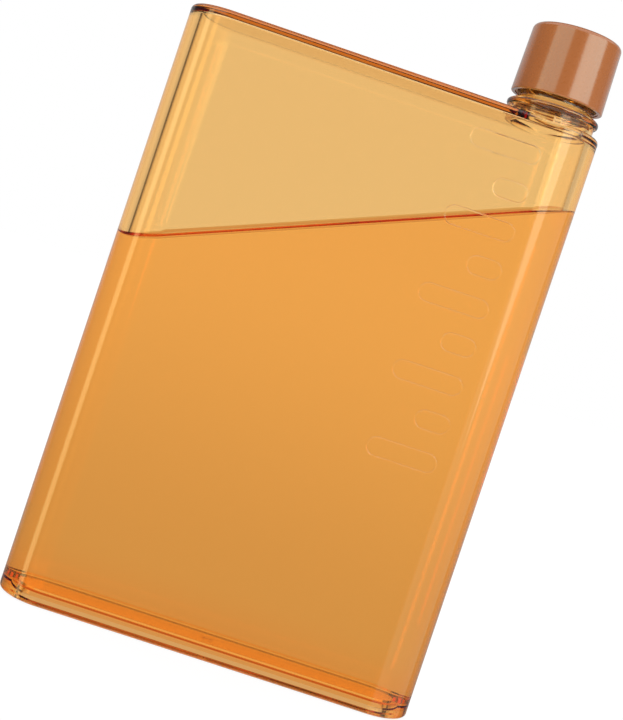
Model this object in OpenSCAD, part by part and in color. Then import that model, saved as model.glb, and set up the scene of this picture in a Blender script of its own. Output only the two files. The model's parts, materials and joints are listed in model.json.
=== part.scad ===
// Flat, see-through water bottle in the proportions of an A5 sheet, with an offset
// threaded neck and a screw cap. It stands on its welded base plate, front face to -Y,
// neck at the +X end. The origin is the centre of the base, on the ground.

/* [Bottle] */
// Width of the body along X
body_w = 148; // [120:1:180]
// Height of the body without neck and cap
body_h = 210; // [150:1:260]
// Depth of the body from front face to back face
body_d = 31; // [30:0.5:40]
// Thickness of the front wall and the back wall
wall = 2; // [1.6:0.1:3]
// Thickness of the wall at the tips of the two rounded ends
end_wall = 3.4; // [2:0.1:5]
// Thickness of the ceiling that carries the neck
top_wall = 2.4; // [1.6:0.1:4]
// Radius of the outer edge around the shoulder
shoulder_r = 1.8; // [0.8:0.1:3]

/* [Base plate] */
// Height of the ring that the bottle stands on, up to the weld
foot_h = 3.1; // [2:0.1:5]
// Width of that ring, around the hollow underneath
foot_w = 8; // [4:0.1:10]
// Radius of the outer edge around the foot
foot_r = 0.8; // [0.3:0.1:1.5]
// Thickness of the floor, which fits inside the wall above the weld
floor_t = 1.8; // [1:0.1:3]

/* [Neck] */
// Distance of the neck axis from the body's right side
neck_inset = 18.2; // [17.2:0.1:40]
// Radius of the mouth's straight bore
bore_r = 11; // [9:0.1:11.2]
// Outer radius of the neck at the thread root
neck_r = 12.9; // [12.7:0.05:13]
// Outer radius of the collar ring under the cap
collar_r = 16.4; // [15.8:0.1:17]
// Height of the groove between shoulder and collar
groove_h = 2.7; // [2:0.1:5]

/* [Thread] */
// Rise of the thread in one turn
lead = 4; // [3.8:0.1:5]
// Turns on the neck
neck_turns = 3.5; // [2:0.25:3.5]
// Turns inside the cap
cap_turns = 2.4; // [1.5:0.1:2.4]

/* [Cap] */
// Height of the cap
cap_h = 24.3; // [23:0.1:30]
// Outer radius at the cap's lower edge
cap_low_r = 16.35; // [16.2:0.05:17]
// Outer radius at the cap's upper edge
cap_top_r = 15.85; // [15.75:0.05:16.2]
// Thickness of the sealing ring
gasket_t = 1.7; // [1:0.1:2.5]

/* [Level marks] */
// Lowest marked volume in millilitres
mark_first = 300; // [50:50:300]
// Highest marked volume in millilitres
mark_last = 700; // [350:50:700]
// Volume between two marks in millilitres
mark_step = 50; // [25:25:100]
// Length of a long mark
mark_long = 25; // [15:1:30]
// Height that the marks stand proud of the face
mark_proud = 0.2; // [0.1:0.05:0.5]

/* [Hidden] */
$fn = 96;

// Cavity
cavity_w = body_w - 2 * end_wall;
cavity_d = body_d - 2 * wall;
cavity_top = body_h - top_wall;
cavity_edge_r = 1;
cavity_area = (cavity_w - cavity_d) * cavity_d + PI * pow(cavity_d / 2, 2);

// Floor of the base plate, just inside the wall
floor_gap = 0.05;
floor_z = foot_h + floor_t;
gate_r = 2.2;
gate_h = 0.4;

// Neck, from the shoulder up
neck_x = body_w / 2 - neck_inset;
throat_r = min(body_d / 2 - 0.2, collar_r - 1.1);
throat_bore_r = throat_r - wall - 0.2;
throat_top = body_h + 1.5;
taper_h = 3;
collar_edge_r = 1.4;
collar_mid = body_h + groove_h + collar_edge_r;
collar_cone_h = 1.3;
rim_r = 0.5;

// Cap, from its lower edge up
cap_gap = 2.7;
cap_z = collar_mid + collar_edge_r + cap_gap;
cap_edge_r = 1.8;
cap_lip_r = 0.4;
shell_in_r = 14.9;
shell_top_t = 1.6;
liner_in_r = 14.1;
liner_top_t = 1.4;
liner_recess = 0.4;
ceiling_z = cap_z + cap_h - shell_top_t - liner_top_t;
neck_top = ceiling_z - gasket_t;
gasket_in_r = 10.4;
gasket_out_r = 13.8;
bead_r = 13.5;
bead_h = 0.6;
bead_gap = 0.4;

// Thread ridges: trapezoids with room of 0.25 to 0.3 to their neighbours
ridge_root = 1.8;
ridge_crest = 0.9;
neck_crest_r = 13.85;
cap_crest_r = 13.15;
sink = 0.4;
thread_z = cap_z + 0.2;
cap_thread_start = 0.6;
turn_steps = 36;
fade_turns = 0.12;

// Level marks: outlines of rounded bars, right ends in line
mark_right = body_w / 2 - body_d / 2 - 4;
mark_margin = 8;
mark_h = 7;
mark_line = 0.55;
mark_root = 0.5;

// Half of an upright section with rounded outer edges, against the Z axis
module half_section(r, h, low_r, high_r) {
    translate([0, low_r])
        square([r, h - low_r - high_r]);
    square([r - low_r, h]);
    translate([0, h / 2])
        square([r - high_r, h / 2]);
    if (low_r > 0)
        translate([r - low_r, low_r])
            circle(low_r);
    if (high_r > 0)
        translate([r - high_r, h - high_r])
            circle(high_r);
}

// Upright slab whose plan is a rectangle with half-round ends
module slab(w, d, h, low_r, high_r) {
    half_w = (w - d) / 2;
    rotate([90, 0, 90])
        linear_extrude(2 * half_w, center = true) {
            half_section(d / 2, h, low_r, high_r);
            mirror([1, 0])
                half_section(d / 2, h, low_r, high_r);
        }
    for (side = [0, 1])
        mirror([side, 0, 0])
            translate([half_w, 0, 0])
                rotate([0, 0, -90])
                    rotate_extrude(angle = 180)
                        half_section(d / 2, h, low_r, high_r);
}

// Height of the ridge, 0 to 1, faded in and out over its two ends
function fade(i, steps) = min(1, i / (fade_turns * turn_steps), (steps - i) / (fade_turns * turn_steps));

// Helical ridge of trapezoidal section, from the sunk radius to the crest
module ridge(root_r, crest_r, turns) {
    steps = round(turns * turn_steps);
    inward = sign(crest_r - root_r);
    base_r = root_r - inward * sink;
    low_r = root_r - inward * sink / 4;
    points = [
        for (i = [0 : steps])
            let (
                angle = 360 * i / turn_steps,
                z = lead * i / turn_steps,
                top_r = low_r + (crest_r - low_r) * fade(i, steps)
            )
            for (p = [
                [base_r, -ridge_root / 2],
                [top_r, -ridge_crest / 2],
                [top_r, ridge_crest / 2],
                [base_r, ridge_root / 2]
            ])
                [p[0] * cos(angle), p[0] * sin(angle), z + p[1]]
    ];
    sides = [
        for (i = [0 : steps - 1], k = [0 : 3])
            let (a = 4 * i + k, b = 4 * i + (k + 1) % 4)
            each [[a, b, b + 4], [a, b + 4, a + 4]]
    ];
    first = [[0, 3, 2], [0, 2, 1]];
    last = [for (f = first) [for (v = [2, 1, 0]) f[v] + 4 * steps]];
    faces = concat(sides, first, last);
    polyhedron(points, inward > 0 ? faces : [for (f = faces) [f[2], f[1], f[0]]]);
}

// Outline of a bar with round ends, lying along X from the origin to the left
module bar_outline(length) {
    difference() {
        bar(length, mark_h);
        translate([-mark_line, 0])
            bar(length - 2 * mark_line, mark_h - 2 * mark_line);
    }
}

module bar(length, h) {
    translate([h / 2 - length, -h / 2])
        square([length - h, h]);
    translate([-h / 2, 0])
        circle(d = h);
    translate([h / 2 - length, 0])
        circle(d = h);
}

module level_marks() {
    for (volume = [mark_first : mark_step : mark_last]) {
        level = floor_z + volume * 1000 / cavity_area;
        long = volume % (2 * mark_step) == 0;
        if (level < body_h - mark_margin)
            translate([mark_right, mark_root - body_d / 2, level])
                rotate([90, 0, 0])
                    linear_extrude(mark_proud + mark_root)
                        bar_outline(long ? mark_long : mark_long / 2);
    }
}

// Outside of the neck: throat, collar ring and threaded tube
module neck_outside() {
    translate([0, 0, body_h - shoulder_r])
        cylinder(r = throat_r, h = groove_h + shoulder_r + 0.3);
    translate([0, 0, collar_mid])
        rotate_extrude() {
            translate([collar_r - collar_edge_r, 0])
                circle(collar_edge_r);
            polygon([
                [0, -collar_edge_r],
                [collar_r - collar_edge_r, -collar_edge_r],
                [collar_r - collar_edge_r, collar_edge_r],
                [neck_r, collar_edge_r + collar_cone_h],
                [0, collar_edge_r + collar_cone_h]
            ]);
        }
    translate([0, 0, collar_mid])
        rotate_extrude()
            half_section(neck_r, neck_top - collar_mid, 0, rim_r);
    translate([0, 0, thread_z])
        ridge(neck_r, neck_crest_r, neck_turns);
}

// Inside of the neck: wide throat, taper and straight bore
module neck_inside() {
    translate([0, 0, cavity_top - 2])
        cylinder(r = throat_bore_r, h = throat_top - cavity_top + 2);
    translate([0, 0, throat_top])
        cylinder(r1 = throat_bore_r, r2 = bore_r, h = taper_h);
    translate([0, 0, throat_top])
        cylinder(r = bore_r, h = neck_top - throat_top + 1);
}

// Moulded body, open underneath where the base plate is welded on
module bottle_body() {
    color([0.93, 0.66, 0.32, 0.55])
        difference() {
            union() {
                translate([0, 0, foot_h])
                    slab(body_w, body_d, body_h - foot_h, 0, shoulder_r);
                level_marks();
                translate([neck_x, 0, 0])
                    neck_outside();
            }
            translate([0, 0, foot_h - 1])
                slab(cavity_w, cavity_d, cavity_top - foot_h + 1, 0, cavity_edge_r);
            translate([neck_x, 0, 0])
                neck_inside();
        }
}

// Floor that plugs the body, on a hollow foot ring, with a moulding gate mark underneath
module base_plate() {
    color([0.86, 0.5, 0.24, 0.6]) {
        difference() {
            union() {
                slab(body_w, body_d, foot_h, foot_r, 0);
                translate([0, 0, foot_h / 2])
                    slab(cavity_w - 2 * floor_gap, cavity_d - 2 * floor_gap, floor_z - foot_h / 2, 0, 0);
            }
            translate([0, 0, -1])
                slab(body_w - 2 * foot_w, body_d - 2 * foot_w, foot_h + 1, 0, 0);
        }
        translate([0, 0, foot_h - gate_h])
            cylinder(r = gate_r, h = gate_h + floor_t / 2);
    }
}

// Glossy outer cup, slightly narrower at the top, round inside
module cap_shell() {
    color([0.69, 0.43, 0.24])
        translate([neck_x, 0, cap_z])
            difference() {
                rotate_extrude() {
                    polygon([
                        [0, 0],
                        [cap_low_r - cap_lip_r, 0],
                        [cap_low_r, cap_lip_r],
                        [cap_top_r, cap_h - cap_edge_r],
                        [cap_top_r - cap_edge_r, cap_h],
                        [0, cap_h]
                    ]);
                    translate([cap_top_r - cap_edge_r, cap_h - cap_edge_r])
                        circle(cap_edge_r);
                }
                translate([0, 0, -1])
                    cylinder(r = shell_in_r, h = cap_h - shell_top_t + 1);
            }
}

// Insert with the thread, pressed into the shell
module cap_liner() {
    liner_z = cap_z + liner_recess;
    bead_z = neck_top - bead_gap - bead_h;
    color([0.78, 0.56, 0.38])
        translate([neck_x, 0, 0]) {
            difference() {
                translate([0, 0, liner_z])
                    cylinder(r = shell_in_r, h = ceiling_z + liner_top_t - liner_z);
                translate([0, 0, liner_z - 1])
                    cylinder(r = liner_in_r, h = bead_z - liner_z + 1);
                translate([0, 0, bead_z - 1])
                    cylinder(r = bead_r, h = bead_h + 2);
                translate([0, 0, bead_z + bead_h])
                    cylinder(r = liner_in_r, h = ceiling_z - bead_z - bead_h);
            }
            translate([0, 0, thread_z + (cap_thread_start + 0.5) * lead])
                rotate([0, 0, 360 * cap_thread_start])
                    ridge(liner_in_r, cap_crest_r, cap_turns);
        }
}

// Flat silicone ring on the mouth's rim
module cap_gasket() {
    color([0.9, 0.88, 0.84])
        translate([neck_x, 0, neck_top])
            difference() {
                cylinder(r = gasket_out_r, h = gasket_t);
                translate([0, 0, -1])
                    cylinder(r = gasket_in_r, h = gasket_t + 2);
            }
}

bottle_body();
base_plate();
cap_shell();
cap_liner();
cap_gasket();
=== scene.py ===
"""Flat see-through bottle with a screw cap, partly filled with water, in the frame of its CAD model."""

import json
import math

import bmesh
import bpy
from mathutils import Matrix, Vector


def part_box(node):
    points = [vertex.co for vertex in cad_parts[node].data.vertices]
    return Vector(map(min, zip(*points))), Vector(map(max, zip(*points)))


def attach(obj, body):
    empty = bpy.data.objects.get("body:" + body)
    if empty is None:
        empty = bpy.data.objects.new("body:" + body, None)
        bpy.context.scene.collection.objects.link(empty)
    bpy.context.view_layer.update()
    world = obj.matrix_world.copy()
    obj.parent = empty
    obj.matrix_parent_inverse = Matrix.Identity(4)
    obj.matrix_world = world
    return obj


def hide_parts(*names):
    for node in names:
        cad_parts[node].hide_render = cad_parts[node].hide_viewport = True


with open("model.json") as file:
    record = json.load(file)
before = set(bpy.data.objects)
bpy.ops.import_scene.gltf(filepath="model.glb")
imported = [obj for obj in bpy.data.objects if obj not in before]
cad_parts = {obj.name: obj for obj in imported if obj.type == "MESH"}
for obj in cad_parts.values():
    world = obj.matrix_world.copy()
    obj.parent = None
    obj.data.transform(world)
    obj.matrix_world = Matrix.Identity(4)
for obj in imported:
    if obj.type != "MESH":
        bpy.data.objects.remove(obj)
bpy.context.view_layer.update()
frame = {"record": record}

# Sizes read from the frame, in metres
plate_low, plate_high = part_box("base_plate")
body_low, body_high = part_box("bottle_body")
shell_low, shell_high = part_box("cap_shell")
liner_low, liner_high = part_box("cap_liner")
ring_low, ring_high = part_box("cap_gasket")
mounts = {mount["name"]: mount for mount in frame["record"]["mounts"]}
groove = mounts["neck_groove"]
thread = mounts["neck_thread"]
groove_h = groove["dims"]["length_mm"] / 1000
thread_h = thread["dims"]["length_mm"] / 1000

BODY_W = plate_high.x - plate_low.x
BODY_D = plate_high.y - plate_low.y
FOOT_H = body_low.z
FLOOR_Z = plate_high.z
BODY_TOP = groove["pos_m"][2] - groove_h / 2
COLLAR_LOW = groove["pos_m"][2] + groove_h / 2
THROAT_R = groove["dims"]["r_mm"] / 1000
NECK_X = groove["pos_m"][0]
NECK_TOP = body_high.z
CREST_R = thread["dims"]["r_mm"] / 1000

# Walls and edges of the bottle
WALL = 0.002
END_WALL = 0.0034
TOP_WALL = 0.0024
SHOULDER_R = 0.0018
CAVITY_EDGE_R = 0.001
FOOT_R = 0.0008
FOOT_W = 0.008
FOOT_INNER_R = 0.0003
FLOOR_GAP = 0.00005
SEAM_GAP = 0.00004
GATE_R = 0.0022
GATE_H = 0.0004
CAVITY_W = BODY_W - 2 * END_WALL
CAVITY_D = BODY_D - 2 * WALL
CAVITY_TOP = BODY_TOP - TOP_WALL

# Neck: its collar, tube, rim and bore, and how far the cutting shapes run past what they cut
COLLAR_R = body_high.y
COLLAR_EDGE_R = 0.0014
COLLAR_MID = COLLAR_LOW + COLLAR_EDGE_R
COLLAR_CONE = 0.0013
NECK_R = 0.0129
RIM_R = 0.0005
BORE_R = 0.011
THROAT_BORE_R = 0.0131
THROAT_TOP = BODY_TOP + 0.0015
TAPER_H = 0.003
NECK_FOOT = 0.0002
OVERCUT = 0.001
THROAT_OVERCUT = 0.0015

# Threads, as rounded ridges
LEAD = 0.004
RIDGE_ROOT = 0.0018
RIDGE_SINK = 0.0004
NECK_TURNS = 3.5
CAP_TURNS = 2.4
CAP_THREAD_R = 0.01315
CAP_THREAD_START = 0.6
THREAD_STEPS = 72
FADE_TURNS = 0.12
THREAD_LOW = thread["pos_m"][2] - thread_h / 2

# Cap and seal
CAP_EDGE_R = 0.0018
CAP_LIP_R = 0.0004
CAP_LOW_R = (shell_high.x - shell_low.x) / 2
CAP_TOP_R = CAP_LOW_R - 0.0005
SHELL_IN_R = (liner_high.x - liner_low.x) / 2
LINER_IN_R = 0.0141
BEAD_R = 0.0135
BEAD_H = 0.0006
BEAD_GAP = 0.0004
FIT_GAP = 0.00003
LINER_CHAMFER = 0.0002
AXIS_R = 0.0001
SEAL_IN_R = 0.0104
SEAL_OUT_R = (ring_high.x - ring_low.x) / 2
SEAL_EDGE_R = 0.0003

# Level marks on the front face
MARK_FIRST = 300
MARK_LAST = 700
MARK_STEP = 50
MARK_LONG = 0.025
MARK_H = 0.007
MARK_RIGHT = BODY_W / 2 - BODY_D / 2 - 0.004
MARK_LINE = 0.00055
MARK_PROUD = 0.0002
MARK_SINK = 0.0002
MARK_MARGIN = 0.008
ML_PER_METRE = ((CAVITY_W - CAVITY_D) * CAVITY_D + math.pi * (CAVITY_D / 2) ** 2) * 1e6

# Water: its surface is level in the world while the bottle leans, so it slopes in the bottle's
# frame. At an upright wall it turns up by an angle, and the steps are shares of that angle
WATER_MID = 0.1544
WATER_SLOPE_X = 0.409
WATER_SLOPE_Y = 0.095
CAPILLARY = 0.0027
CONTACT_TURN = math.radians(50)
MENISCUS_STEPS = (1, 0.9, 0.8, 0.7, 0.6, 0.5, 0.4, 0.3, 0.2, 0.12, 0.06)
WATER_GAP = 0.00002

# Points round half a slab's end, round a full turn, and round a level mark's end
ARC_STEPS = 144
TURN_STEPS = 128
MARK_STEPS = 32

# Tolerances: of a point to a wall, to a height, and to another point
NEAR_WALL = 0.00003
NEAR_LEVEL = 0.000001
SAME_POINT = 0.0000001

IOR_PLASTIC = 1.55
IOR_WATER = 1.33

# Clear parts: the tint of their skin, and the colour and strength of the tint in their depth. The plastic's
# amber is its own colour; the water's amber is painted light that stands in for light reaching it through
# the amber walls
AMBER_SKIN = (0.991, 0.8155, 0.543, 1)
AMBER_DEPTH = (0.936, 0.618, 0.0, 1)
AMBER_DENSITY = 110.0
WATER_PAINTED_LIGHT_SKIN = (0.985, 0.84, 0.60, 1)
WATER_PAINTED_LIGHT_DEPTH = (0.97, 0.605, 0.0, 1)
WATER_PAINTED_LIGHT_DENSITY = 15.7

# Opaque parts
CAP_BROWN = (0.49, 0.145, 0.028, 1)
LINER_PALE = (0.86, 0.72, 0.66, 1)
SEAL_GREY = (0.72, 0.68, 0.60, 1)

# The dim room in front, and its soft boxes: azimuth from the front, then elevation, each as (low,
# high, softness) in degrees, and their light
ROOM = (0.14, 0.14, 0.14)
SOFT_BOXES = (
    ((-68, -21, 3), (11, 34, 3), (1.1, 1.7, 1.5)),
    ((15, 70, 4), (11, 34, 3), (2.5, 3.3, 3.0)),
    ((-69, -55, 3), (-25, 11, 3), (3.8, 2.9, 1.25)),
    ((13, 105, 4), (-20, 11, 3), (0.6, 0.6, 0.5)),
    ((-200, 200, 1), (32, 100, 4), (1.15, 1.15, 1.15)),
    ((-200, 200, 1), (-100, -27, 5), (0.9, 0.9, 0.9)),
)

# A box that widens upwards from its foot: the middle's azimuth, the foot's and top's elevation
TAPERED_BOX_MID = 26
TAPERED_BOX_FOOT = -4.5
TAPERED_BOX_TOP = 11
TAPERED_BOX_SPREAD = 1.0
TAPERED_BOX_SOFT = 2.5
TAPERED_BOX_TOP_SOFT = 2
TAPERED_BOX = (2.9, 2.5, 1.7)

# A panel beside the bottle that shows through it but not in reflections
PANEL_ACROSS = (-112, -82, 4)
PANEL_UPRIGHT = (-20, 25, 4)
PANEL = (0.7, 0.7, 0.7)

# The backdrop behind: its edges in degrees, and its brightness in its parts
BACKDROP_ACROSS = (-55.5, 66, 1.2)
BACKDROP_FADE = (34, 58)
BACKDROP_SIDE = 0.65
BACKDROP_TOP = 40
BACKDROP_SOFT = 8
BACKDROP_ABOVE = 0.45
BACKDROP_BELOW = 0.85
BACKDROP_REFLECTED = 0.5

# The table under the backdrop starts below the horizon: the sine of its edge and softness, its
# brightness, and the warm strip in it, a painted pool of amber light for light through the bottle
TABLE_EDGE = -0.12
TABLE_SOFT = 0.14
TABLE = 0.78
TABLE_CAUSTIC_BAND = (-25, -15.5, 2)
TABLE_CAUSTIC_TINT = (1.0, 0.78, 0.64)

# Light on matt surfaces, from the left to the right
MATT_LEFT = 0.75
MATT_RIGHT = 1.2
WHITE = (1.0, 1.0, 1.0)

# A limit, in radians, that nothing reaches
NO_LIMIT = 9

# The floor's half width, and how far it lies below the foot
FLOOR_HALF = 3
FLOOR_DROP = 0.0002

# Camera: its lens and shift, its turn about the view axis, tilt and swing, and the way from it to the
# point it aims at, which is on the bottle's axis: to the right, forwards and up
LENS = 65.48
SHIFT_X = -0.0187
SHIFT_Y = -0.0833
ROLL, PITCH, YAW = (math.radians(angle) for angle in (18.522, 1.222, 1.590))
TO_AIM = Vector((-0.00869, 0.4542, -0.0213))
AIM_HEIGHT = 0.105


# ---------------------------------------------------------------- mesh helpers


def new_object(name, verts, faces):
    """A mesh object in the frame's own coordinates."""
    mesh = bpy.data.meshes.new(name)
    mesh.from_pydata(verts, [], faces)
    mesh.update()
    obj = bpy.data.objects.new(name, mesh)
    bpy.context.scene.collection.objects.link(obj)
    return obj


def stadium(width, depth, z):
    """Level outline with half-round ends, anticlockwise from the front of the right end."""
    r = depth / 2
    half = width / 2 - r
    points = []
    for side in (1, -1):
        for i in range(ARC_STEPS + 1):
            a = math.pi * (i / ARC_STEPS - 0.5)
            points.append((side * (half + r * math.cos(a)), side * r * math.sin(a), z))
    return points


def circle(r, z, steps, x=0.0, turn=0.0):
    """Level circle, anticlockwise."""
    angles = [turn + 2 * math.pi * i / steps for i in range(steps)]
    return [(x + r * math.cos(a), r * math.sin(a), z) for a in angles]


def loft(name, rings):
    """Closed skin over rings of the same number of points, listed from the bottom up."""
    n = len(rings[0])
    verts = [point for ring in rings for point in ring]
    faces = [list(reversed(range(n)))]
    for k in range(len(rings) - 1):
        for i in range(n):
            j = (i + 1) % n
            faces.append((k * n + i, k * n + j, (k + 1) * n + j, (k + 1) * n + i))
    faces.append([(len(rings) - 1) * n + i for i in range(n)])
    return new_object(name, verts, faces)


def lathe(name, profile, x):
    """Closed ring about a vertical axis: its section is the profile of (radius, height), anticlockwise."""
    n = len(profile)
    verts = []
    for i in range(TURN_STEPS):
        a = 2 * math.pi * i / TURN_STEPS
        verts += [(x + r * math.cos(a), r * math.sin(a), z) for r, z in profile]
    faces = []
    for i in range(TURN_STEPS):
        j = (i + 1) % TURN_STEPS
        for k in range(n):
            m = (k + 1) % n
            faces.append((i * n + k, j * n + k, j * n + m, i * n + m))
    return new_object(name, verts, faces)


def spindle(name, profile, x):
    """Solid of revolution with flat ends: the profile of (radius, height) runs from the bottom up."""
    return loft(name, [circle(r, z, TURN_STEPS, x) for r, z in profile])


def arc(r_mid, z_mid, radius, first, last, steps=8):
    """Points of an arc in (radius, height), from the first angle to the last in degrees."""
    angles = [math.radians(first + (last - first) * i / steps) for i in range(steps + 1)]
    return [(r_mid + radius * math.cos(a), z_mid + radius * math.sin(a)) for a in angles]


def rounding(radius, top, steps=6):
    """(inset, height) pairs up a rounded upper edge that ends at the height top."""
    angles = [math.pi / 2 * i / steps for i in range(steps + 1)]
    return [(radius * (1 - math.cos(a)), top - radius + radius * math.sin(a)) for a in angles]


def ridge(name, root_r, crest_r, turns, z, x, turn):
    """Helical thread ridge with a rounded crest, fading in and out, sunk a little into its wall."""
    steps = round(turns * THREAD_STEPS)
    fade_steps = FADE_TURNS * THREAD_STEPS
    inward = 1 if crest_r > root_r else -1
    base_r = root_r - inward * RIDGE_SINK
    low_r = root_r - inward * RIDGE_SINK / 4
    section = [(0, -1), (0.55, -0.78), (0.9, -0.5), (1, -0.25), (1, 0.25), (0.9, 0.5), (0.55, 0.78), (0, 1)]
    half_root = RIDGE_ROOT / 2
    verts = []
    for i in range(steps + 1):
        a = turn + 2 * math.pi * i / THREAD_STEPS
        rise = z + LEAD * i / THREAD_STEPS
        fade = min(1, i / fade_steps, (steps - i) / fade_steps)
        points = [(base_r, -half_root)]
        points += [(low_r + (crest_r - low_r) * fade * up, side * half_root) for up, side in section]
        points.append((base_r, half_root))
        verts += [(x + r * math.cos(a), r * math.sin(a), rise + dz) for r, dz in points]
    n = len(section) + 2
    faces = [list(range(n)), [steps * n + k for k in reversed(range(n))]]
    for i in range(steps):
        for k in range(n):
            m = (k + 1) % n
            faces.append((i * n + k, (i + 1) * n + k, (i + 1) * n + m, i * n + m))
    obj = new_object(name, verts, faces)
    outward_normals(obj)
    return obj


def outward_normals(obj):
    """Makes a closed mesh's normals point outwards."""
    bm = bmesh.new()
    bm.from_mesh(obj.data)
    bmesh.ops.recalc_face_normals(bm, faces=bm.faces)
    bm.to_mesh(obj.data)
    bm.free()


def combine(obj, others, operation):
    """obj joined with, or cut by, each of the others, which are then removed."""
    for other in others:
        modifier = obj.modifiers.new(operation.lower(), "BOOLEAN")
        modifier.operation = operation
        modifier.solver = "MANIFOLD"
        modifier.object = other
        bpy.context.view_layer.update()
        depsgraph = bpy.context.evaluated_depsgraph_get()
        mesh = bpy.data.meshes.new_from_object(obj.evaluated_get(depsgraph))
        obj.modifiers.clear()
        obj.data = mesh
        bpy.data.objects.remove(other)
    obj.data.name = obj.name
    return obj


def finish_surface(obj, angle=30):
    """Smooth shading that keeps flat faces flat and edges crisp."""
    bm = bmesh.new()
    bm.from_mesh(obj.data)
    bmesh.ops.remove_doubles(bm, verts=bm.verts, dist=SAME_POINT)
    bm.to_mesh(obj.data)
    bm.free()
    obj.data.shade_smooth()
    obj.data.set_sharp_from_angle(angle=math.radians(angle))
    modifier = obj.modifiers.new("weighted_normals", "WEIGHTED_NORMAL")
    modifier.keep_sharp = True
    modifier.weight = 50


# ---------------------------------------------------------------- water level


def water_level(x, y):
    """Height of the still water surface above a point of the bottle's floor."""
    return WATER_MID + WATER_SLOPE_X * x + WATER_SLOPE_Y * y


def wall_turn(x, y):
    """Angle the water turns up at the wall: more where the wall hangs over it than where it leans away."""
    half = (CAVITY_W - CAVITY_D) / 2
    along = x - max(-half, min(half, x))
    towards = along / max(math.hypot(along, y), WALL)
    return CONTACT_TURN - math.atan(WATER_SLOPE_X) * towards


def climb(turn):
    """Height above the flat level at which the surface of still water stands at an angle."""
    return math.sqrt(2) * CAPILLARY * math.sqrt(1 - math.cos(turn))


def reach(turn):
    """Distance along the level, up to a constant, at which the surface stands at an angle."""
    height = climb(turn)
    return CAPILLARY * math.acosh(2 * CAPILLARY / height) - math.sqrt(4 * CAPILLARY**2 - height**2)


def in_cavity(point):
    """True for a point inside the cavity's plan, or on its wall."""
    half = (CAVITY_W - CAVITY_D) / 2
    x = max(abs(point.x) - half, 0)
    in_plan = math.hypot(x, point.y) < CAVITY_D / 2 + NEAR_WALL
    return in_plan and FOOT_H + NEAR_LEVEL < point.z < CAVITY_TOP + NEAR_LEVEL


def on_weld(point, normal):
    """True for a point where body and base plate are welded: their level seam, or the floor's edge."""
    if abs(normal.z) > 0.99:
        facing_body = normal.z > 0 and abs(point.z - FOOT_H) < NEAR_LEVEL
        facing_base = normal.z < 0 and abs(point.z - FOOT_H - SEAM_GAP) < NEAR_LEVEL
        return facing_body or facing_base
    return in_cavity(point) and point.z < FLOOR_Z


def set_refraction(obj):
    """Gives each face the index it refracts with: air or water behind it, or none across the weld."""
    bm = bmesh.new()
    bm.from_mesh(obj.data)
    slope = Vector((-WATER_SLOPE_X, -WATER_SLOPE_Y, 1)).normalized()
    for face in [face for face in bm.faces if in_cavity(face.calc_center_median())]:
        centre = face.calc_center_median()
        edge = Vector((0, 0, WATER_MID + climb(wall_turn(centre.x, centre.y))))
        near = [face, *face.edges, *face.verts]
        bmesh.ops.bisect_plane(bm, geom=near, dist=SAME_POINT, plane_co=edge, plane_no=slope)
    near = [*bm.verts, *bm.edges, *bm.faces]
    level = {"plane_co": (0, 0, FLOOR_Z), "plane_no": (0, 0, 1)}
    bmesh.ops.bisect_plane(bm, geom=near, dist=SAME_POINT, **level)
    ior = bm.faces.layers.float.new("ior")
    for face in bm.faces:
        centre = face.calc_center_median()
        below = centre.z < water_level(centre.x, centre.y) + climb(wall_turn(centre.x, centre.y))
        face[ior] = IOR_PLASTIC
        if on_weld(centre, face.normal):
            face[ior] = 1.0
        elif below and in_cavity(centre):
            face[ior] = IOR_PLASTIC / IOR_WATER
    bm.to_mesh(obj.data)
    bm.free()


# ---------------------------------------------------------------- node helpers


def add(tree, kind, inputs=None, **settings):
    """A new node with its settings, and its inputs set to values or linked to sockets."""
    node = tree.nodes.new(kind)
    for key, value in settings.items():
        setattr(node, key, value)
    for key, value in (inputs or {}).items():
        if isinstance(value, bpy.types.NodeSocket):
            tree.links.new(value, node.inputs[key])
        else:
            node.inputs[key].default_value = value
    return node


def new_material(name):
    """An empty node material, its tree and its output node."""
    material = bpy.data.materials.new(name)
    material.use_nodes = True
    tree = material.node_tree
    tree.nodes.clear()
    return material, tree, add(tree, "ShaderNodeOutputMaterial")


def noise(tree, scale, detail, stretch=(1, 1, 1)):
    """Noise over the object's own coordinates, with cells about 1/scale metres across."""
    place = add(tree, "ShaderNodeTexCoord")
    mapping = add(tree, "ShaderNodeMapping", {"Vector": place.outputs["Object"], "Scale": stretch})
    return add(
        tree, "ShaderNodeTexNoise", {"Vector": mapping.outputs["Vector"], "Scale": scale, "Detail": detail}
    ).outputs["Fac"]


def spread(tree, value, low, high):
    """A value of 0 to 1 spread from low to high."""
    return add(tree, "ShaderNodeMapRange", {"Value": value, "To Min": low, "To Max": high}).outputs["Result"]


def bump(tree, height, strength, distance):
    """Normals of a surface whose height varies over a distance in metres."""
    return add(
        tree, "ShaderNodeBump", {"Height": height, "Strength": strength, "Distance": distance}
    ).outputs["Normal"]


def mix(tree, kind, factor, a, b):
    """From a, where the factor is 0, to b, where it is 1: both colours (RGBA) or vectors (VECTOR)."""
    suffix = {"RGBA": "Color", "VECTOR": "Vector"}[kind]
    node = add(tree, "ShaderNodeMix", {"Factor": factor}, data_type=kind)
    for socket in node.inputs:
        value = {f"A_{suffix}": a, f"B_{suffix}": b}.get(socket.identifier)
        if isinstance(value, bpy.types.NodeSocket):
            tree.links.new(value, socket)
        elif value is not None:
            socket.default_value = value
    return next(socket for socket in node.outputs if socket.identifier == f"Result_{suffix}")


def maths(tree, operation, a, b=0.0):
    """The result of an operation on one or two numbers or sockets."""
    return add(tree, "ShaderNodeMath", {0: a, 1: b}, operation=operation).outputs["Value"]


# ---------------------------------------------------------------- materials


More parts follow.
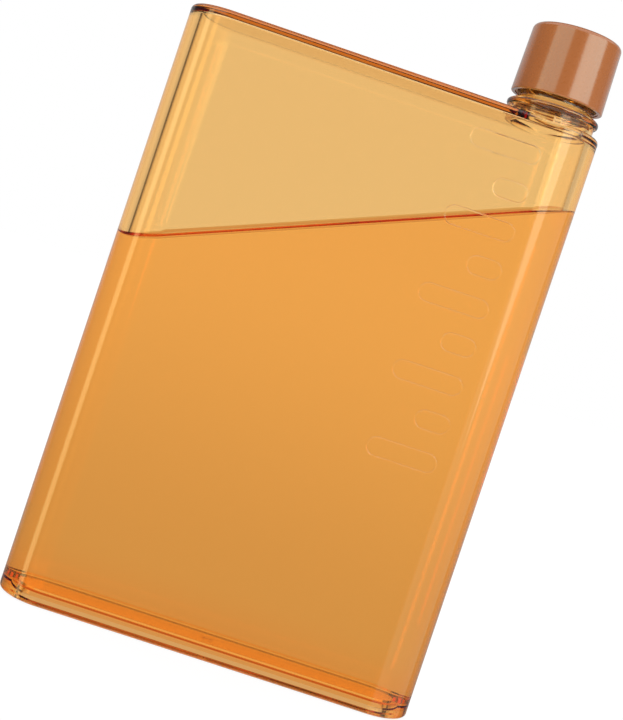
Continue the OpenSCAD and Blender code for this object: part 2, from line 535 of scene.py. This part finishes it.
def clear_amber():
    """Clear amber moulded plastic: tinted at its skin and in its depth, and wet faces bend light less."""
    material, tree, out = new_material("clear_amber")
    ior = add(tree, "ShaderNodeAttribute", attribute_name="ior").outputs["Fac"]
    waves = noise(tree, 22, 2)
    shader = add(
        tree,
        "ShaderNodeBsdfPrincipled",
        {
            "Base Color": AMBER_SKIN,
            "Roughness": spread(tree, noise(tree, 900, 2), 0.0, 0.03),
            "IOR": IOR_PLASTIC,
            "Transmission Weight": 1.0,
            "Normal": bump(tree, waves, 0.02, 0.004),
        },
    )
    tree.links.new(ior, shader.inputs["IOR"])
    absorb = add(tree, "ShaderNodeVolumeAbsorption", {"Color": AMBER_DEPTH, "Density": AMBER_DENSITY})
    tree.links.new(shader.outputs["BSDF"], out.inputs["Surface"])
    tree.links.new(absorb.outputs["Volume"], out.inputs["Volume"])
    return material


def water_with_painted_light():
    """Water: it bends light at its top only, because the plastic's wet faces already do so at its sides. Its
    amber skin and depth are painted light, standing in for light that reaches it through the amber walls.
    """
    material, tree, out = new_material("water")
    top = add(tree, "ShaderNodeAttribute", attribute_name="top").outputs["Fac"]
    ior = spread(tree, top, 1.0, IOR_WATER)
    shader = add(
        tree,
        "ShaderNodeBsdfPrincipled",
        {
            # painted amber light: the water's skin tint stands in for light through the amber walls
            "Base Color": WATER_PAINTED_LIGHT_SKIN,
            "Roughness": 0.0,
            "IOR": IOR_WATER,
            "Transmission Weight": 1.0,
            "Normal": bump(tree, noise(tree, 60, 2), 0.01, 0.002),
        },
    )
    tree.links.new(ior, shader.inputs["IOR"])
    # painted amber light: the water's absorption stands in for light that reaches it through the amber walls
    absorb = add(tree, "ShaderNodeVolumeAbsorption", {"Color": WATER_PAINTED_LIGHT_DEPTH, "Density": WATER_PAINTED_LIGHT_DENSITY})
    tree.links.new(shader.outputs["BSDF"], out.inputs["Surface"])
    tree.links.new(absorb.outputs["Volume"], out.inputs["Volume"])
    return material


def moulded_plastic(name, colour, roughness, coat, mottle, grain):
    """Opaque moulding with faint colour flow, a fine grain (its height in metres) and a clear coat."""
    material, tree, out = new_material(name)
    darker = [channel * (1 - mottle) for channel in colour[:3]] + [1]
    flow = mix(tree, "RGBA", noise(tree, 120, 4, (1, 1, 0.3)), darker, colour)
    shader = add(
        tree,
        "ShaderNodeBsdfPrincipled",
        {
            "Base Color": flow,
            "Roughness": spread(tree, noise(tree, 700, 3), roughness * 0.85, roughness * 1.15),
            "IOR": 1.5,
            "Coat Weight": coat,
            "Coat Roughness": 0.06,
            "Normal": bump(tree, noise(tree, 1500, 2), 0.1, grain),
        },
    )
    tree.links.new(shader.outputs["BSDF"], out.inputs["Surface"])
    return material


# ---------------------------------------------------------------- pieces


def slab_rings(width, depth, low, top, top_r):
    """Rings of an upright slab with half-round ends and a rounded upper edge."""
    rings = [stadium(width, depth, low)]
    for inset, z in rounding(top_r, top):
        rings.append(stadium(width - 2 * inset, depth - 2 * inset, z))
    return rings


def neck_outside():
    """Throat, collar with a conical top, and threaded tube with a rounded rim."""
    inside = BODY_TOP - SHOULDER_R
    profile = [(THROAT_R, inside), (THROAT_R, COLLAR_MID - COLLAR_EDGE_R * 0.8)]
    profile += arc(COLLAR_R - COLLAR_EDGE_R, COLLAR_MID, COLLAR_EDGE_R, -52, 62)
    cone_top = COLLAR_MID + COLLAR_EDGE_R + COLLAR_CONE
    profile.append((NECK_R + NECK_FOOT, cone_top - NECK_FOOT / 2))
    profile.append((NECK_R, cone_top + NECK_FOOT))
    profile += arc(NECK_R - RIM_R, NECK_TOP - RIM_R, RIM_R, 0, 90, 4)
    return spindle("neck_outside", profile, NECK_X)


def neck_inside():
    """Wide throat, taper and straight bore, running out past the rim."""
    profile = [
        (THROAT_BORE_R, CAVITY_TOP - THROAT_OVERCUT),
        (THROAT_BORE_R, THROAT_TOP),
        (BORE_R, THROAT_TOP + TAPER_H),
        (BORE_R, NECK_TOP + OVERCUT),
    ]
    return spindle("neck_inside", profile, NECK_X)


def mark(length, z):
    """Raised, gently rounded outline of a bar with round ends, sunk a little into the front face."""
    r = (MARK_H - MARK_LINE) / 2
    straight = length - MARK_H
    path = []
    for side in (1, -1):
        for i in range(MARK_STEPS + 1):
            a = math.pi * (i / MARK_STEPS - 0.5)
            centre_x = MARK_RIGHT - MARK_H / 2 - (straight if side < 0 else 0)
            out = (side * math.cos(a), side * math.sin(a))
            path.append(((centre_x + r * out[0], z + r * out[1]), out))
    across = [1 - k / 4 for k in range(9)]
    section = [(MARK_LINE / 2 * share, MARK_PROUD * (1 - share**2)) for share in across]
    section += [(-MARK_LINE / 2, -MARK_SINK), (MARK_LINE / 2, -MARK_SINK)]
    front = -BODY_D / 2
    verts = []
    for (px, pz), out in path:
        verts += [(px + out[0] * side, front - proud, pz + out[1] * side) for side, proud in section]
    n = len(section)
    faces = []
    for i in range(len(path)):
        j = (i + 1) % len(path)
        for k in range(n):
            m = (k + 1) % n
            faces.append((i * n + k, i * n + m, j * n + m, j * n + k))
    return verts, faces


def level_marks():
    """All the level marks in one mesh: a long bar every second step, and short ones between."""
    verts = []
    faces = []
    for volume in range(MARK_FIRST, MARK_LAST + 1, MARK_STEP):
        level = FLOOR_Z + volume / ML_PER_METRE
        if level > BODY_TOP - MARK_MARGIN:
            continue
        length = MARK_LONG if volume % (2 * MARK_STEP) == 0 else MARK_LONG / 2
        mark_verts, mark_faces = mark(length, level)
        faces += [[len(verts) + k for k in face] for face in mark_faces]
        verts += mark_verts
    obj = new_object("level_marks", verts, faces)
    outward_normals(obj)
    return obj


def bottle_shell():
    """Moulded body with its neck, thread and level marks, hollow and open underneath."""
    shell = loft("bottle_shell", slab_rings(BODY_W, BODY_D, FOOT_H + SEAM_GAP, BODY_TOP, SHOULDER_R))
    neck_thread = ridge("neck_ridge", NECK_R, CREST_R, NECK_TURNS, THREAD_LOW, NECK_X, 0)
    combine(shell, [neck_outside(), neck_thread, level_marks()], "UNION")
    cavity = loft("cavity", slab_rings(CAVITY_W, CAVITY_D, FOOT_H - OVERCUT, CAVITY_TOP, CAVITY_EDGE_R))
    combine(shell, [cavity, neck_inside()], "DIFFERENCE")
    set_refraction(shell)
    finish_surface(shell)
    return shell


def floor_plate():
    """Floor that plugs the body, on a hollow foot ring, with a gate mark underneath."""
    count = 2 * (ARC_STEPS + 1)
    quarter = -math.pi / 2
    hollow_w = BODY_W - 2 * FOOT_W
    hollow_d = BODY_D - 2 * FOOT_W
    edge = 2 * FOOT_INNER_R
    rings = [
        circle(GATE_R * 0.5, FOOT_H - GATE_H, count, turn=quarter),
        circle(GATE_R * 0.8, FOOT_H - GATE_H * 0.9, count, turn=quarter),
        circle(GATE_R, FOOT_H - GATE_H * 0.4, count, turn=quarter),
        circle(GATE_R, FOOT_H, count, turn=quarter),
        stadium(hollow_w, hollow_d, FOOT_H),
        stadium(hollow_w, hollow_d, FOOT_INNER_R),
        stadium(hollow_w + edge, hollow_d + edge, 0),
    ]
    for inset, z in reversed(rounding(FOOT_R, 0)):
        rings.append(stadium(BODY_W - 2 * inset, BODY_D - 2 * inset, -z))
    floor_w = CAVITY_W - 2 * FLOOR_GAP
    floor_d = CAVITY_D - 2 * FLOOR_GAP
    rings += [
        stadium(BODY_W, BODY_D, FOOT_H),
        stadium(floor_w, floor_d, FOOT_H),
        stadium(floor_w, floor_d, FLOOR_Z),
    ]
    plate = loft("floor_plate", rings)
    set_refraction(plate)
    finish_surface(plate)
    return plate


def cap_cover():
    """Glossy outer cup, slightly narrower at the top, with rounded edges."""
    low, top = shell_low.z, shell_high.z
    inner_top = liner_high.z
    profile = arc(CAP_LOW_R - CAP_LIP_R, low + CAP_LIP_R, CAP_LIP_R, -90, 0, 4)
    profile += arc(CAP_TOP_R - CAP_EDGE_R, top - CAP_EDGE_R, CAP_EDGE_R, 0, 90, 10)
    profile += [(AXIS_R, top), (AXIS_R, inner_top), (SHELL_IN_R, inner_top), (SHELL_IN_R, low)]
    cover = lathe("cap_cover", profile, NECK_X)
    finish_surface(cover)
    return cover


def cap_insert():
    """Threaded insert with a bead that holds the seal in its ceiling."""
    low, top = liner_low.z, liner_high.z
    out_r = SHELL_IN_R - FIT_GAP
    ceiling = ring_high.z + FIT_GAP
    bead_z = NECK_TOP - BEAD_GAP - BEAD_H
    profile = [(out_r - LINER_CHAMFER, low), (out_r, low + LINER_CHAMFER)]
    profile += [(out_r, top - FIT_GAP), (AXIS_R, top - FIT_GAP)]
    profile += [(AXIS_R, ceiling), (LINER_IN_R, ceiling), (LINER_IN_R, bead_z + BEAD_H)]
    profile += [(BEAD_R, bead_z + BEAD_H * 0.7), (BEAD_R, bead_z + BEAD_H * 0.3), (LINER_IN_R, bead_z)]
    profile += [(LINER_IN_R, low + LINER_CHAMFER), (LINER_IN_R + LINER_CHAMFER, low)]
    insert = lathe("cap_insert", profile, NECK_X)
    start = THREAD_LOW + (CAP_THREAD_START + 0.5) * LEAD
    turn = 2 * math.pi * CAP_THREAD_START
    cap_thread = ridge("cap_ridge", LINER_IN_R, CAP_THREAD_R, CAP_TURNS, start, NECK_X, turn)
    combine(insert, [cap_thread], "UNION")
    finish_surface(insert)
    return insert


def seal_ring():
    """Flat silicone ring with softened edges."""
    low, top = ring_low.z + FIT_GAP, ring_high.z
    profile = arc(SEAL_OUT_R - SEAL_EDGE_R, low + SEAL_EDGE_R, SEAL_EDGE_R, -90, 0, 4)
    profile += arc(SEAL_OUT_R - SEAL_EDGE_R, top - SEAL_EDGE_R, SEAL_EDGE_R, 0, 90, 4)
    profile += arc(SEAL_IN_R + SEAL_EDGE_R, top - SEAL_EDGE_R, SEAL_EDGE_R, 90, 180, 4)
    profile += arc(SEAL_IN_R + SEAL_EDGE_R, low + SEAL_EDGE_R, SEAL_EDGE_R, 180, 270, 4)
    ring = lathe("seal_ring", profile, NECK_X)
    finish_surface(ring)
    return ring


def water():
    """The water in the leaning bottle: a sloping surface that climbs the walls in a meniscus."""
    width = CAVITY_W - 2 * WATER_GAP
    depth = CAVITY_D - 2 * WATER_GAP
    rings = [stadium(width, depth, FLOOR_Z + WATER_GAP)]
    outline = stadium(width, depth, 0)
    inner = stadium(width - WALL, depth - WALL, 0)
    for share in MENISCUS_STEPS:
        ring = []
        for (x, y, _), (inner_x, inner_y, _) in zip(outline, inner):
            turn = wall_turn(x, y)
            inset = (reach(share * turn) - reach(turn)) / (WALL / 2)
            inset_x, inset_y = x + (inner_x - x) * inset, y + (inner_y - y) * inset
            ring.append((inset_x, inset_y, water_level(inset_x, inset_y) + climb(share * turn)))
        rings.append(ring)
    body = loft("water", rings)
    side_faces = 1 + len(rings[0])
    top = body.data.attributes.new("top", "FLOAT", "FACE")
    top.data.foreach_set("value", [float(i >= side_faces) for i in range(len(body.data.polygons))])
    finish_surface(body, 50)
    return body


def make_pieces():
    """Builds every piece, with its finish, the CAD nodes it stands for and the body it rides on."""
    amber = clear_amber()
    brown = moulded_plastic("cap_brown", CAP_BROWN, roughness=0.28, coat=1.0, mottle=0.12, grain=0.0002)
    pale = moulded_plastic("liner_pale", LINER_PALE, roughness=0.4, coat=0.0, mottle=0.08, grain=0.0003)
    silicone = moulded_plastic(
        "seal_silicone", SEAL_GREY, roughness=0.6, coat=0.0, mottle=0.08, grain=0.0004
    )
    plan = [
        (bottle_shell(), amber, "clear_amber", ["bottle_body"], "bottle"),
        (floor_plate(), amber, "clear_amber", ["base_plate"], "bottle"),
        (water(), water_with_painted_light(), "water", [], "bottle"),
        (cap_cover(), brown, "cap_brown", ["cap_shell"], "cap"),
        (cap_insert(), pale, "liner_pale", ["cap_liner"], "cap"),
        (seal_ring(), silicone, "seal_silicone", ["cap_gasket"], "seal"),
    ]
    for piece, material, slot, nodes, body in plan:
        piece.data.materials.clear()
        piece.data.materials.append(material)
        if nodes:
            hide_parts(*nodes)
        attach(piece, body)


# ---------------------------------------------------------------- studio


def window(tree, value, low, high, soft):
    """1 where the value lies between low and high, 0 outside, with soft edges."""
    rise = add(
        tree, "ShaderNodeMapRange",
        {"Value": value, "From Min": low - soft, "From Max": low + soft},
        interpolation_type="SMOOTHSTEP",
    )
    fall = add(
        tree, "ShaderNodeMapRange",
        {"Value": value, "From Min": high - soft, "From Max": high + soft, "To Min": 1, "To Max": 0},
        interpolation_type="SMOOTHSTEP",
    )
    return maths(tree, "MULTIPLY", rise.outputs["Result"], fall.outputs["Result"])


def band(tree, angle, low, high, soft):
    """A window over an angle, with its limits in degrees."""
    return window(tree, angle, math.radians(low), math.radians(high), math.radians(soft))


def panel(tree, azimuth, elevation, across, upright):
    """1 inside a soft-edged rectangle of azimuth and elevation, 0 outside."""
    return maths(tree, "MULTIPLY", band(tree, azimuth, *across), band(tree, elevation, *upright))


def tapered_panel(tree, azimuth, elevation):
    """1 inside a box that widens upwards from a point, 0 outside."""
    middle = math.radians(TAPERED_BOX_MID)
    off_middle = maths(tree, "ABSOLUTE", maths(tree, "SUBTRACT", azimuth, middle))
    above_foot = maths(tree, "SUBTRACT", elevation, math.radians(TAPERED_BOX_FOOT))
    half_width = maths(tree, "MULTIPLY", above_foot, TAPERED_BOX_SPREAD)
    outside = maths(tree, "SUBTRACT", off_middle, half_width)
    taper = window(tree, outside, -NO_LIMIT, 0, math.radians(TAPERED_BOX_SOFT))
    top, soft = math.radians(TAPERED_BOX_TOP), math.radians(TAPERED_BOX_TOP_SOFT)
    return maths(tree, "MULTIPLY", taper, window(tree, elevation, -NO_LIMIT, top, soft))


def scaled(tree, light, share):
    """A colour of light dimmed to a share of itself."""
    return add(tree, "ShaderNodeVectorMath", {0: light, "Scale": share}, operation="SCALE").outputs[0]


def add_light(tree, room, share, light):
    """The room's light with a share of another light added."""
    both = {0: scaled(tree, light, share), 1: room}
    return add(tree, "ShaderNodeVectorMath", both, operation="ADD").outputs[0]


def soft_boxes(tree, azimuth, elevation, reflected):
    """The dim room in front of the bottle, with its soft boxes and the panel beside it."""
    room = add_light(tree, ROOM, tapered_panel(tree, azimuth, elevation), TAPERED_BOX)
    for across, upright, light in SOFT_BOXES:
        room = add_light(tree, room, panel(tree, azimuth, elevation, across, upright), light)
    beside = panel(tree, azimuth, elevation, PANEL_ACROSS, PANEL_UPRIGHT)
    seen_through = maths(tree, "MULTIPLY", beside, spread(tree, reflected, 1.0, 0.0))
    return add_light(tree, room, seen_through, PANEL)


def backdrop(tree, sideways, elevation, z, reflected):
    """The white sweep behind the bottle, dimmer at its sides, above, below and in reflections."""
    fade_start, fade_end = (math.radians(angle) for angle in BACKDROP_FADE)
    dimming = add(
        tree, "ShaderNodeMapRange",
        {
            "Value": maths(tree, "ABSOLUTE", sideways),
            "From Min": fade_start, "From Max": fade_end, "To Min": 1.0, "To Max": BACKDROP_SIDE,
        },
        interpolation_type="SMOOTHSTEP",
    ).outputs["Result"]
    table = spread(tree, window(tree, z, TABLE_EDGE, NO_LIMIT, TABLE_SOFT), TABLE, 1.0)
    level = maths(tree, "MULTIPLY", dimming, table)
    # painted caustic: a warm strip of amber light on the table, standing in for light through the bottle
    tint = mix(tree, "VECTOR", band(tree, elevation, *TABLE_CAUSTIC_BAND), WHITE, TABLE_CAUSTIC_TINT)
    sweep = scaled(tree, tint, level)
    top, soft = math.radians(BACKDROP_TOP), math.radians(BACKDROP_SOFT)
    above = window(tree, elevation, top, NO_LIMIT, soft)
    below = window(tree, elevation, -NO_LIMIT, -top, soft)
    for edge, brightness in ((above, BACKDROP_ABOVE), (below, BACKDROP_BELOW)):
        sweep = mix(tree, "VECTOR", edge, sweep, (brightness, brightness, brightness))
    return scaled(tree, sweep, spread(tree, reflected, 1.0, BACKDROP_REFLECTED))


def studio_world():
    """A white sweep behind the bottle, a dim room with soft boxes in front, even light on matt faces."""
    world = bpy.data.worlds.new("studio")
    world.use_nodes = True
    world.cycles.sampling_method = "NONE"
    bpy.context.scene.world = world
    tree = world.node_tree
    tree.nodes.clear()
    direction = add(tree, "ShaderNodeTexCoord").outputs["Generated"]
    parts = add(tree, "ShaderNodeSeparateXYZ", {"Vector": direction}).outputs
    x, y, z = parts["X"], parts["Y"], parts["Z"]
    rays = add(tree, "ShaderNodeLightPath").outputs
    azimuth = maths(tree, "ARCTAN2", x, maths(tree, "MULTIPLY", y, -1))
    elevation = maths(tree, "ARCSINE", z)
    sideways = maths(tree, "ARCTAN2", x, y)
    behind = band(tree, sideways, *BACKDROP_ACROSS)
    room = soft_boxes(tree, azimuth, elevation, rays["Is Reflection Ray"])
    sweep = backdrop(tree, sideways, elevation, z, rays["Is Reflection Ray"])
    left_to_right = maths(tree, "ADD", maths(tree, "MULTIPLY", x, 0.5), 0.5)
    even = scaled(tree, WHITE, spread(tree, left_to_right, MATT_LEFT, MATT_RIGHT))
    studio = mix(tree, "VECTOR", behind, room, sweep)
    lit = mix(tree, "VECTOR", rays["Is Diffuse Ray"], studio, even)
    seen = mix(tree, "VECTOR", rays["Is Camera Ray"], lit, WHITE)
    background = add(tree, "ShaderNodeBackground", {"Color": seen, "Strength": 1.0})
    out = add(tree, "ShaderNodeOutputWorld")
    tree.links.new(background.outputs["Background"], out.inputs["Surface"])


def floor():
    """Plain white floor that shows only a faint shade under the bottle."""
    corners = [(x * FLOOR_HALF, y * FLOOR_HALF, 0) for x, y in ((-1, -1), (1, -1), (1, 1), (-1, 1))]
    obj = new_object("floor", corners, [(0, 1, 2, 3)])
    obj.location.z = -FLOOR_DROP
    material, tree, out = new_material("floor_white")
    matt = add(tree, "ShaderNodeBsdfDiffuse", {"Color": (0.16, 0.16, 0.16, 1)})
    glow = add(tree, "ShaderNodeEmission", {"Color": (1, 1, 1, 1), "Strength": 0.9})
    both = add(tree, "ShaderNodeAddShader", {0: matt.outputs["BSDF"], 1: glow.outputs["Emission"]})
    tree.links.new(both.outputs["Shader"], out.inputs["Surface"])
    obj.data.materials.append(material)
    obj.visible_glossy = False
    obj.visible_transmission = False


def camera():
    """Camera at the photograph's viewing angle, turned about its axis so that the bottle leans."""
    data = bpy.data.cameras.new("camera")
    data.lens = LENS
    data.sensor_width = 36
    data.shift_x = SHIFT_X
    data.shift_y = SHIFT_Y
    data.clip_start = 0.01
    obj = bpy.data.objects.new("camera", data)
    turn = Matrix.Rotation(-ROLL, 3, "Y") @ Matrix.Rotation(-PITCH, 3, "X") @ Matrix.Rotation(-YAW, 3, "Z")
    obj.location = Vector((0, 0, AIM_HEIGHT)) - turn @ TO_AIM
    obj.rotation_euler = (turn @ Matrix.Rotation(math.radians(90), 3, "X")).to_euler()
    bpy.context.scene.collection.objects.link(obj)
    bpy.context.scene.camera = obj


def light_paths():
    """Enough bounces for light to leave the clear walls and the water, and a plain view transform."""
    scene = bpy.context.scene
    scene.cycles.max_bounces = 24
    scene.cycles.transmission_bounces = 24
    scene.cycles.glossy_bounces = 12
    scene.cycles.transparent_max_bounces = 16
    scene.view_settings.view_transform = "Standard"


make_pieces()
floor()
camera()
studio_world()
light_paths()
